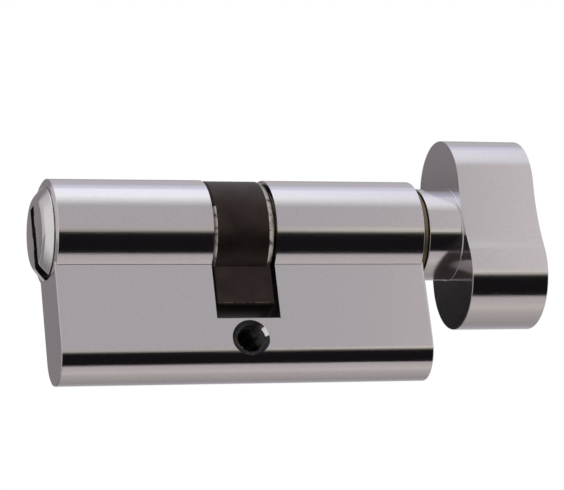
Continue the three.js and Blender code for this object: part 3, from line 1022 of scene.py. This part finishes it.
def knob():
    """Grip, flared neck and shank bore as one skin, with the set screw's hole cut in."""
    start, end = node_span("knob")
    shank_end = node_span("turn_plug")[1]
    grip = rounded_ends(KNOB_START_X, end, KNOB_EDGE)
    rings = [[(x, y, z) for y, z in knob_loop(inset)] for x, inset in reversed(grip)]
    directions = [math.atan2(z, y) for y, z in knob_loop(0)]
    flare = []
    for step in range(FLARE_STEPS + 1):
        angle = math.pi / 2 * step / FLARE_STEPS
        flare.append((KNOB_START_X - NECK_FILLET * (1 - math.cos(angle)),
                      NECK_RADIUS + NECK_FILLET * (1 - math.sin(angle))))
    bore_radius = SHANK_RADIUS + RUNNING_GAP
    neck = soften([(flare[-1][0], NECK_RADIUS), (start, NECK_RADIUS, NECK_END_ROUND),
                   (start, bore_radius, NECK_END_ROUND), (shank_end + SHANK_END_ROOM, bore_radius)])
    for x, radius in [*flare, *neck[1:]]:
        rings.append([(x, radius * math.cos(a), radius * math.sin(a)) for a in directions])
    piece = loft("fine_knob", rings)
    screw_hole = [circle(SET_SCREW_HOLE_RADIUS, PIN_SIDES, lambda u, v, y=y: (SET_SCREW_X + u, y, v))
                  for y in (SET_SCREW_HOLE_INNER_Y, NECK_RADIUS + PAST)]
    combine(piece, [loft("screw_hole", screw_hole)], "DIFFERENCE")
    return tilted(piece)


def tilted(piece):
    """Turns an upright piece to the angle that the knob rests at."""
    piece.data.transform(Matrix.Rotation(KNOB_TILT, 4, "X"))
    return piece


def knob_set_screw():
    """A grub screw with its thread and a hexagonal socket."""
    inner, outer = SET_SCREW_INNER_Y, SET_SCREW_OUTER_Y
    count = round((outer - inner) / SET_SCREW_PITCH * THREAD_RINGS_PER_PITCH)
    rings = []
    for i in range(count + 1):
        at_end = i in (0, count)
        radius = SET_SCREW_RADIUS - (SET_SCREW_END_BEVEL if at_end else 0)
        depth = 0 if at_end else SET_SCREW_THREAD_DEPTH
        y = inner + (outer - inner) * i / count
        rings.append(thread_ring(i / THREAD_RINGS_PER_PITCH, SET_SCREW_SIDES, radius, depth,
                                 lambda u, v, y=y: (SET_SCREW_X + u, y, v)))
    screw = loft("fine_knob_set_screw", rings)
    socket = [circle(SOCKET_RADIUS, SOCKET_SIDES, lambda u, v, y=y: (SET_SCREW_X + u, y, v))
              for y in (outer - SOCKET_DEPTH, outer + PAST)]
    return tilted(combine(screw, [loft("socket", socket)], "DIFFERENCE"))


# ---- putting the pieces on their bodies -------------------------------------------


def place_pin_stack(number):
    """One pin pair with its spring and the cap below them."""
    driver, joint = f"driver_pin_{number}", f"driver_pin_{number}_slide"
    cap, coil_node, lifted = f"chamber_cap_{number}", f"pin_spring_{number}", f"key_pin_{number}"
    place(chamber_cap(number), "housing", cap, "nickel_plate", NICKEL_DRAWN)
    spring = place(pin_spring(number), "housing", coil_node, "spring_steel", SPRING)
    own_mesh(spring)
    place(driver_pin(number), driver, driver, "brass", BRASS_PIN)
    place(key_pin(number), lifted, lifted, "brass", BRASS_PIN)


def place_clutch():
    """The dog in the key plug and the spring that pushes it back."""
    place(clutch_dog(), "clutch", "clutch_dog", "sintered_steel", SINTERED)
    spring = place(clutch_spring(), "turn", "clutch_spring", "spring_steel", SPRING)
    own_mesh(spring)


place(cylinder_body(), "housing", "cylinder_body", "nickel_plate", NICKEL_DRAWN, BRASS_IN_PAINTED_SHADE)
for number in PIN_NUMBERS:
    place_pin_stack(number)
place(key_plug(), "key_plug", "key_plug", "nickel_plate", NICKEL_TURNED, BRASS_IN_PAINTED_SHADE)
place(circlip("key_circlip"), "key_plug", "key_circlip", "spring_steel", SPRING)
place_clutch()
place(cam(), "cam", "cam", "sintered_steel", SINTERED, CHAMFER_WEAR_AND_HIGHLIGHT, TAIL_CORNER_PAINTED_HIGHLIGHT)
place(turn_plug(), "turn", "turn_plug", "brass", BRASS_TURNED, BRASS_FLANGE_PAINTED_SHADE)
place(circlip("turn_circlip"), "turn", "turn_circlip", "spring_steel", SPRING)
place(knob(), "turn", "knob", "nickel_plate", NICKEL_DRAWN)
place(knob_set_screw(), "turn", "knob_set_screw", "black_steel", BLACK)


# ---- studio -----------------------------------------------------------------------

FLOOR_HALF_WIDTH = 4000
FLOOR_Z = -520

# azimuth, elevation and roll in degrees, and the point that the camera aims at
CAMERA_ANGLES = (-19.462, -19.371, -6.606)
CAMERA_AIM = (7.83, -1.84, -2.48)
CAMERA_DISTANCE = 402.92
CAMERA_LENS = 162.645
CAMERA_SENSOR = 36


def floor():
    """A wide pale floor well below the part, out of its reflections."""
    half, z = FLOOR_HALF_WIDTH, FLOOR_Z
    corners = [(-half, -half, z), (half, -half, z), (half, half, z), (-half, half, z)]
    plane = new_object("floor", corners, [(0, 1, 2, 3)])
    material, nodes, shader = new_material("pale_floor", metallic=0.0)
    tone = nodes.noise(scale=3.0, detail=2.0)
    colour = nodes.ramp(tone, [(0.3, (0.86, 0.86, 0.86)), (0.7, (0.9, 0.9, 0.9))])
    nodes.link(colour, shader.inputs["Base Color"])
    shader.inputs["Roughness"].default_value = 0.8
    plane.data.materials.append(material)
    plane.visible_glossy = False


# Light on the tent around the X axis: degrees from the front, up over the top, linear colours.
TENT = [
    (-180, (0.56, 0.55, 0.56)),
    (-163, (0.44, 0.42, 0.44)),
    (-145, (0.40, 0.385, 0.375)),
    (-105, (0.56, 0.53, 0.50)),
    (-90, (0.70, 0.67, 0.62)),
    (-66, (0.58, 0.54, 0.54)),
    (-15, (0.58, 0.56, 0.47)),
    (-3, (0.57, 0.55, 0.56)),
    (42, (0.56, 0.55, 0.55)),
    (66, (1.26, 1.32, 1.32)),
    (88, (1.26, 1.28, 1.42)),
    (93, (0.88, 0.90, 1.02)),
    (102, (0.84, 0.86, 0.98)),
    (107, (0.66, 0.65, 0.70)),
    (128, (0.60, 0.58, 0.60)),
    (152, (0.36, 0.34, 0.34)),
    (170, (0.50, 0.48, 0.49)),
    (180, (0.56, 0.55, 0.56)),
]

# Cards in front of the tent, each over a span of angles and of reach along X, which runs from
# -1 to 1, with the widths over which its edges fade. A later card covers an earlier one.
Card = namedtuple("Card", "angles angle_fades reach reach_fade colour")
CARDS = [
    # the front wall is lighter towards the right, and its lower edge catches the light
    Card((-13, 50), (3, 16), (0.39, 2), 0.03, (0.86, 0.82, 0.80)),
    Card((-13, -6), (3, 5), (0.33, 2), 0.05, (0.84, 0.83, 0.70)),
    # the top light is weaker towards the right
    Card((56, 92), (16, 8), (0.38, 2), 0.2, (0.80, 0.78, 0.84)),
    # dimmer behind and below on the left
    Card((122, 168), (16, 6), (-0.5, 0.0), 0.1, (0.29, 0.27, 0.28)),
    Card((-200, -64), (1, 6), (-0.5, 0.05), 0.1, (0.04, 0.033, 0.03)),
    # the open gap below the front wall
    Card((-63, -15), (2, 6), (-0.5, 2), 0.1, (0.010, 0.009, 0.010)),
    # the left and right walls of the tent
    Card((-200, 200), (1, 1), (-2, -0.66), 0.3, (0.93, 0.94, 0.90)),
    Card((-200, -130), (1, 40), (-2, -0.5), 0.2, (0.30, 0.29, 0.28)),
    Card((104, 200), (30, 1), (-2, -0.6), 0.2, (0.66, 0.62, 0.61)),
    Card((-200, 200), (1, 1), (0.72, 2), 0.2, (0.80, 0.78, 0.74)),
    # a dark corner behind on the left
    Card((158.8, 167), (1, 3), (-0.62, -0.3), 0.04, (0.006, 0.006, 0.006)),
]


def window(nodes, value, span, fades):
    """1 inside a span and 0 outside it, with an edge of its own width at each end."""
    (low, high), (low_fade, high_fade) = span, fades
    rise = nodes.spread_from(value, low - low_fade / 2, low + low_fade / 2)
    fall = nodes.spread_from(value, high + high_fade / 2, high - high_fade / 2)
    return nodes.multiply(rise, fall)


def studio_world():
    """A light tent around the X axis with cards in it, seen only in reflections."""
    world = bpy.data.worlds.new("studio")
    bpy.context.scene.world = world
    world.use_nodes = True
    nodes = Nodes(world.node_tree)
    background = world.node_tree.nodes["Background"]
    coords = nodes.add("ShaderNodeTexCoord")
    split = nodes.add("ShaderNodeSeparateXYZ")
    nodes.link(coords.outputs["Generated"], split.inputs["Vector"])
    front = nodes.multiply(split.outputs["Y"], -1)
    angle = nodes.add("ShaderNodeMath", operation="ARCTAN2")
    nodes.link(split.outputs["Z"], angle.inputs[0])
    nodes.link(front, angle.inputs[1])
    degrees = nodes.multiply(angle.outputs[0], 180 / math.pi)
    light = nodes.ramp(nodes.spread_from(degrees, -180, 180), [
        ((place_on_tent + 180) / 360, colour) for place_on_tent, colour in TENT])
    for card in CARDS:
        across = window(nodes, degrees, card.angles, card.angle_fades)
        along = window(nodes, split.outputs["X"], card.reach, (card.reach_fade, card.reach_fade))
        light = nodes.mix(nodes.multiply(across, along), light, card.colour)
    path = nodes.add("ShaderNodeLightPath")
    shown = nodes.mix(path.outputs["Is Camera Ray"], light, (1, 1, 1))
    nodes.link(shown, background.inputs["Color"])


def camera():
    """Left of the front, below the axis and slightly rolled, through a long lens."""
    azimuth, elevation, roll = (math.radians(a) for a in CAMERA_ANGLES)
    back = Vector((math.sin(azimuth) * math.cos(elevation),
                   -math.cos(azimuth) * math.cos(elevation), math.sin(elevation)))
    level_right = Vector((math.cos(azimuth), math.sin(azimuth), 0))
    level_up = back.cross(level_right)
    right = level_right * math.cos(roll) + level_up * math.sin(roll)
    up = back.cross(right)
    data = bpy.data.cameras.new("camera")
    data.lens = CAMERA_LENS
    data.sensor_width = CAMERA_SENSOR
    data.clip_start = 0.01
    obj = bpy.data.objects.new("camera", data)
    bpy.context.scene.collection.objects.link(obj)
    turned = Matrix((right, up, back)).transposed().to_4x4()
    seat = Vector(CAMERA_AIM) + back * CAMERA_DISTANCE
    obj.matrix_world = Matrix.Translation(seat * MM) @ turned
    bpy.context.scene.camera = obj


floor()
studio_world()
camera()
bpy.context.scene.view_settings.view_transform = "Standard"
